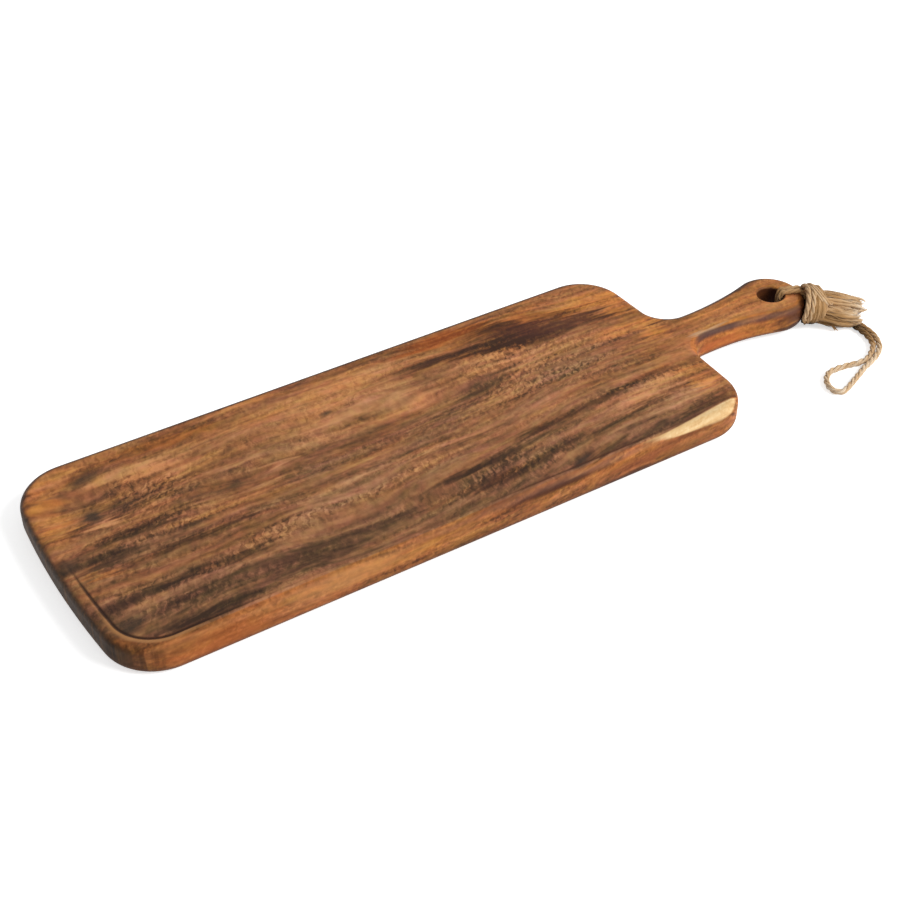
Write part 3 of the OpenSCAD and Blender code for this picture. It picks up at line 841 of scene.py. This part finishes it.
def core_spot(ring, angle):
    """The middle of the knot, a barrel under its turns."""
    share = ring / core_rings
    u = core_start + core_length * share
    radius = core_radius * sqrt(max(1 - (2 * share - 1) ** 4, 0.02))
    return Vector((u, knot_middle[1] + radius * cos(angle), knot_middle[2] + radius * sin(angle))), u, radius


roll_yarn(twine, core_rings, 32, core_spot, 33, lambda share: 0.32)
knot = close_twine("twine_knot", twine, jute)
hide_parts("knot")
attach(knot, "hanger")

# The frayed ends: past the knot the twine is unlaid into loose locks of fibre, cut off ragged.
# They lie in a flat bundle that sinks to the table, paler at the cut, and a small tuft hangs below.
knot_end = 11.3
table_gap = 0.2
tuft_locks = 8
# Each end has a length, a number of locks and an outline: share of the length, middle and half width
# across, then middle and half height as shares of the knot's radius
tails = {
    "tail_far": (30, 44, [
        (-0.16, 2, 7, 0.98, 0.52), (0.1, 4, 8, 0.88, 0.49), (0.35, 4.5, 9, 0.76, 0.47),
        (0.65, 3.5, 8.5, 0.65, 0.41), (0.9, 2.5, 8, 0.56, 0.35), (1, 2.5, 7.5, 0.52, 0.31),
    ]),
    "tail_near": (23.5, 40, [
        (-0.24, -5, 6, 0.70, 0.52), (0.1, -6.5, 7.5, 0.58, 0.52), (0.45, -8.5, 8, 0.48, 0.43),
        (0.8, -9.5, 7.5, 0.46, 0.38), (1, -10, 6.5, 0.45, 0.33),
    ]),
}
golden_turn = pi * (3 - sqrt(5))
for seed, (name, (length, locks, outline)) in enumerate(tails.items()):
    dice = random.Random(71 + seed)
    twine = start_twine()
    for lock in range(locks * 4):
        fine = lock >= locks
        spread = sqrt((lock % locks + 0.5) / locks) * (1.0 if fine else 0.86)
        turn = golden_turn * lock
        cut = dice.uniform(0.82, 1.04)
        radius = dice.uniform(0.12, 0.3) if fine else dice.uniform(1.1, 1.7)
        route = []
        for share, v, half_v, z, half_z in outline:
            wobble = 0.5 + (1.0 if fine else 0.5) * max(share, 0)
            lock_v = knot_middle[1] + v + spread * half_v * cos(turn) + dice.uniform(-wobble, wobble)
            lock_z = knot_radius * (z + spread * half_z * sin(turn)) + dice.uniform(-wobble, wobble)
            route.append((knot_end + share * cut * length, lock_v, max(lock_z, radius + table_gap)))
        # Locks low in the bundle are painted darker: painted shade under the bundle
        light = dice.uniform(0.36, 0.58) - 0.25 * spread * max(-sin(turn), 0)
        lay_lock(
            twine, route, radius, 3 if fine else 7, 1.6, 40 + lock,
            lambda share, light=light: light + 0.36 * share ** 3, 0.65,
        )
    if name == "tail_near":
        for lock in range(tuft_locks):
            route = [(12, -13, 5.5), (15.5, -17, 3.5)]
            route.append((17.5 + dice.uniform(-1, 1.5), -20.5 + dice.uniform(-1, 1), 1.2))
            radius = dice.uniform(0.4, 0.8)
            lay_lock(twine, route, radius, 5, 1.0, 90 + lock, lambda share: 0.4 + 0.2 * share, 0.8)
    tail = close_twine("twine_" + name, twine, jute)
    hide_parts(name)
    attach(tail, "hanger")

# The hanging loop: the free bight of the same three-ply jute twine. It comes out of the knot,
# lies on the table in a loose curve, turns back and runs in again beside itself.
fullness = 1.14
lie = 2.05
loop_fibres = 360
fibre_reach = 2.6
loop_points = [
    (5.5, -8, 6.5), (11, -8.5, 3.5), (17.5, -10.2, lie), (24.6, -12.6, lie), (29.4, -16.5, lie),
    (33.1, -23.4, lie), (35.7, -32.3, lie), (35.4, -41.5, lie), (31.3, -49.8, lie), (26.1, -56, lie),
    (18.8, -59.5, lie), (11, -61.2, lie), (3.8, -63.6, lie), (-2.5, -67, lie), (-6.5, -73.5, lie),
    (-7.5, -80.5, lie), (-5.5, -86, lie), (-1, -87.5, lie), (4, -84, lie), (10, -77.5, lie),
    (16, -71, lie), (22.5, -64, lie), (28.5, -58.5, lie), (34.9, -51.4, lie), (39.4, -42.5, lie),
    (39.9, -31.7, lie), (36.9, -21.8, lie), (32.6, -13.9, lie), (26.6, -9, lie), (18.9, -6.2, lie),
    (11, -4, 3.5), (5.5, -3, 6.5),
]


def loop_pale(share):
    """The loop is darker by the knot, most on its inner run, and paler in its free part."""
    start = -0.08 if share < 0.5 else 0.24
    return start + (0.8 - start) * smooth_share((min(share, 1 - share) - 0.08) / 0.22)


twine = start_twine()
stations = stations_along(loop_points, ring_step)
twist_twine(twine, stations, 60, loop_pale, lambda extra: (fullness, fullness))
add_fibres(twine, stations, loop_fibres, fibre_reach, random.Random(5), pi / 2, lambda share: 0.7)
loop = close_twine("twine_hanging_loop", twine, jute)
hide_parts("hanging_loop")
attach(loop, "hanger")

# The floor: a plain pale sheet that the board lies on. It glows for what the camera sees, and still
# keeps the board's soft shadow.
floor_half = 4
floor_drop = 0.3 * MM
floor_glow = 0.6


def seen_rays(tree):
    """1 for the rays that show a surface to the camera, straight or through a shiny or clear one."""
    rays = add_node(tree, "LightPath", {}).outputs
    seen = reckon(tree, "MAXIMUM", rays["Is Camera Ray"], rays["Is Glossy Ray"])
    return reckon(tree, "MAXIMUM", seen, rays["Is Transmission Ray"])


floor_shape = bmesh.new()
bmesh.ops.create_grid(floor_shape, x_segments=1, y_segments=1, size=floor_half)
bmesh.ops.translate(floor_shape, verts=floor_shape.verts[:], vec=(0, 0, -floor_drop))
paper = bpy.data.materials.new("pale_floor")
paper.use_nodes = True
tree = paper.node_tree
shader = tree.nodes["Principled BSDF"]
shader.inputs["Base Color"].default_value = (0.9, 0.9, 0.9, 1)
shader.inputs["Roughness"].default_value = 0.9
shader.inputs["Specular IOR Level"].default_value = 0.0
shader.inputs["Emission Color"].default_value = (1, 1, 1, 1)
glow = reckon(tree, "MULTIPLY", seen_rays(tree), floor_glow)
tree.links.new(glow, shader.inputs["Emission Strength"])
floor = make_object("floor", floor_shape, paper)

# The light: a white room that fills the shadows, and one broad lamp from the front right.
room = bpy.data.worlds.new("white_room")
bpy.context.scene.world = room
room.use_nodes = True
tree = room.node_tree
background = tree.nodes["Background"]
background.inputs["Color"].default_value = (1, 1, 1, 1)
fill_level = 0.42
room_level = reckon(tree, "MULTIPLY_ADD", seen_rays(tree), 1 - fill_level, fill_level)
tree.links.new(room_level, background.inputs["Strength"])

lamp_place = Vector((1.5, -1.8, 1.9))
key = bpy.data.lights.new("key", "AREA")
key.shape = "DISK"
key.size = 1.6
key.energy = 80
key_lamp = bpy.data.objects.new("key", key)
key_lamp.location = lamp_place
key_lamp.rotation_euler = (-lamp_place).to_track_quat("-Z", "Y").to_euler()
bpy.context.collection.objects.link(key_lamp)

# The camera: out past the foot end's near corner and above it, looking over the board to its handle.
camera_place = Vector((-0.42474, -0.65248, 0.61189))
camera_aim = Vector((-0.01497, -0.00510, 0))
lens = bpy.data.cameras.new("camera")
lens.sensor_width = 36
lens.lens = 65.49
camera = bpy.data.objects.new("camera", lens)
camera.location = camera_place
camera.rotation_euler = (camera_aim - camera_place).to_track_quat("-Z", "Y").to_euler()
bpy.context.collection.objects.link(camera)
bpy.context.scene.camera = camera
bpy.context.scene.view_settings.view_transform = "Standard"
